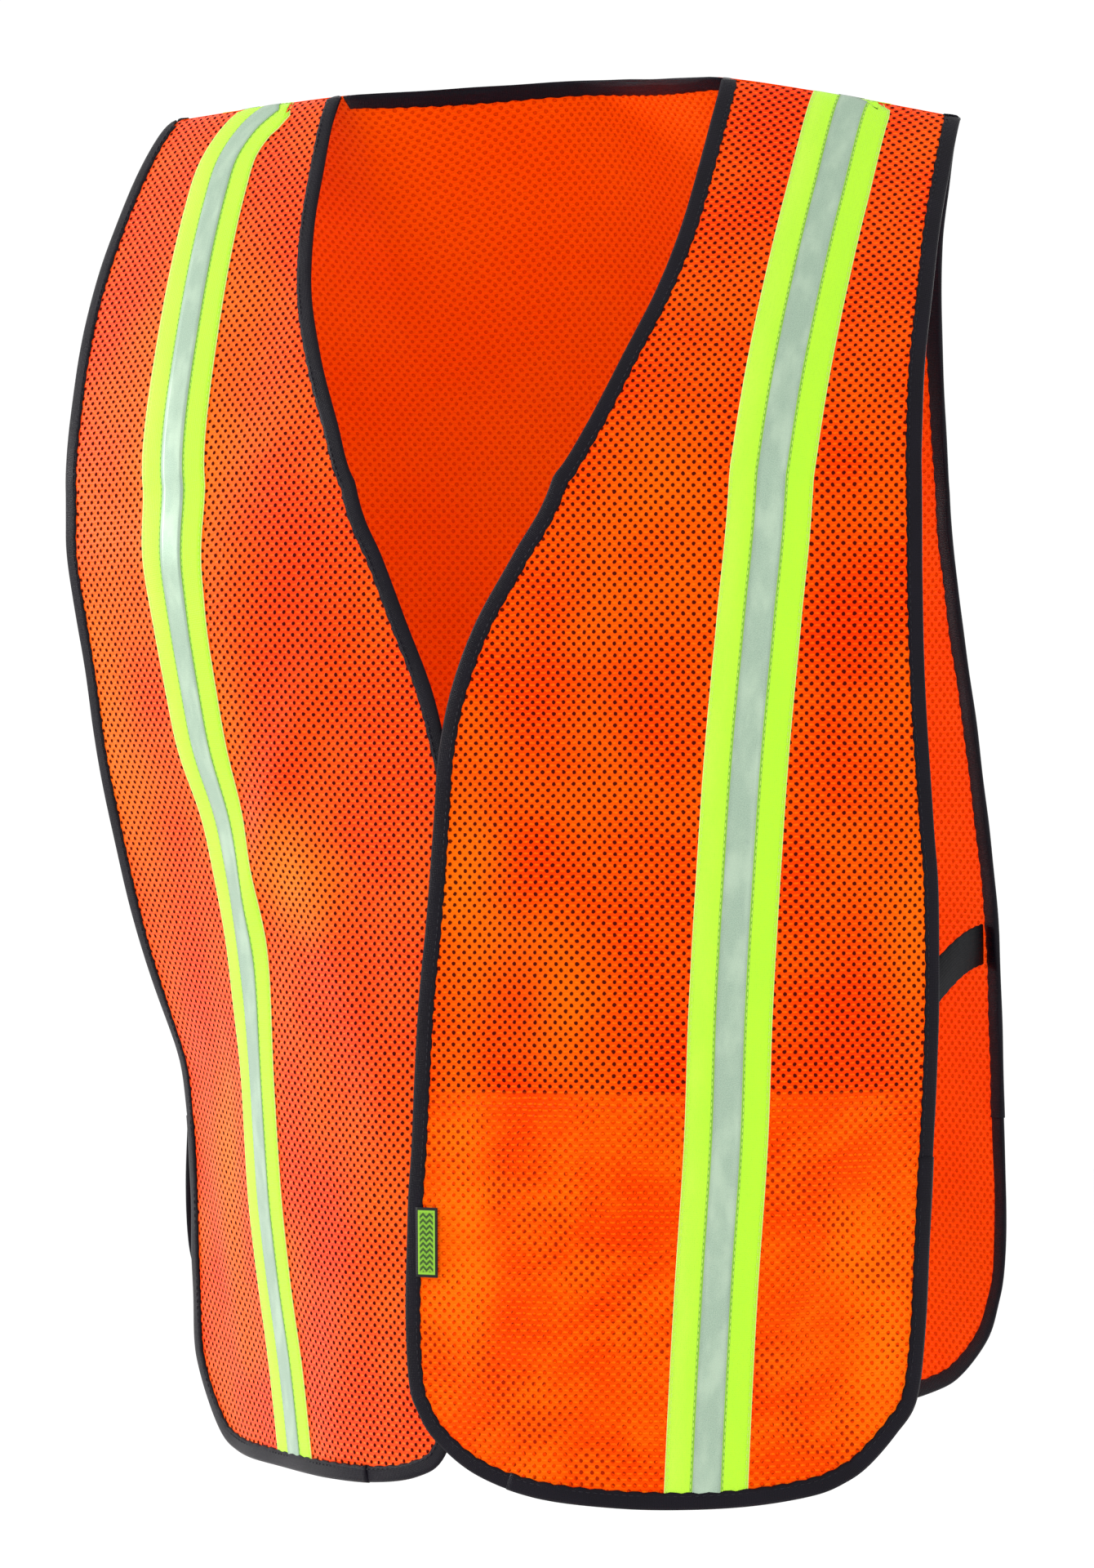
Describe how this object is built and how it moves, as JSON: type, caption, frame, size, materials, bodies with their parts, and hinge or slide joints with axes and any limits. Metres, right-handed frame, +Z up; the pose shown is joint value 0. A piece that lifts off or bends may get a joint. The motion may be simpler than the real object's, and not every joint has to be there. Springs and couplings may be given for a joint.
{
  "type": "high visibility vest",
  "caption": "Sleeveless mesh safety vest with bound edges, a V neck, reflective stripes over the shoulders and elastic at the open sides.",
  "frame": {"origin": "midway between the shoulder seams, at the height of the neck points", "axes": "+Z up, the front faces -Y, +X is the wearer's left"},
  "size_m": [0.4309, 0.2303, 0.6522],
  "materials": {
    "orange_mesh": "knitted mesh",
    "black_binding": "satin woven tape",
    "lime_tape": "fluorescent woven tape",
    "silver_reflective": "glass bead reflective film",
    "black_elastic": "woven elastic",
    "hook_and_loop": "napped",
    "green_tag": "woven label"
  },
  "bodies": {
    "back": {"back_panel": "orange_mesh", "back_neck_binding": "black_binding", "left_back_armhole_binding": "black_binding", "right_back_armhole_binding": "black_binding", "back_hem_binding": "black_binding", "left_back_tape": "lime_tape", "right_back_tape": "lime_tape", "left_back_reflective": "silver_reflective", "right_back_reflective": "silver_reflective", "left_side_elastic": "black_elastic", "right_side_elastic": "black_elastic"},
    "left_front": {"left_front_panel": "orange_mesh", "pocket_panel": "orange_mesh", "left_front_binding": "black_binding", "left_front_armhole_binding": "black_binding", "left_front_tape": "lime_tape", "left_front_reflective": "silver_reflective", "left_hook_patches": "hook_and_loop", "edge_tag": "green_tag"},
    "right_front": {"right_front_panel": "orange_mesh", "right_front_binding": "black_binding", "right_front_armhole_binding": "black_binding", "right_front_tape": "lime_tape", "right_front_reflective": "silver_reflective", "right_loop_patches": "hook_and_loop"}
  },
  "joints": [
    {"name": "left_front_open", "type": "hinge", "parent": "back", "child": "left_front", "pos_m": [0.2085, -0.042, -0.4], "axis": [0, 0.12, 0.9928], "range_deg": [0, 100]},
    {"name": "right_front_open", "type": "hinge", "parent": "back", "child": "right_front", "pos_m": [-0.198, -0.001, -0.402], "axis": [0.032, -0.042, -0.9986], "range_deg": [0, 80]}
  ],
  "couplings": [
    {"joint": "right_front_open", "follows": "left_front_open", "ratio": 0.8}
  ]
}
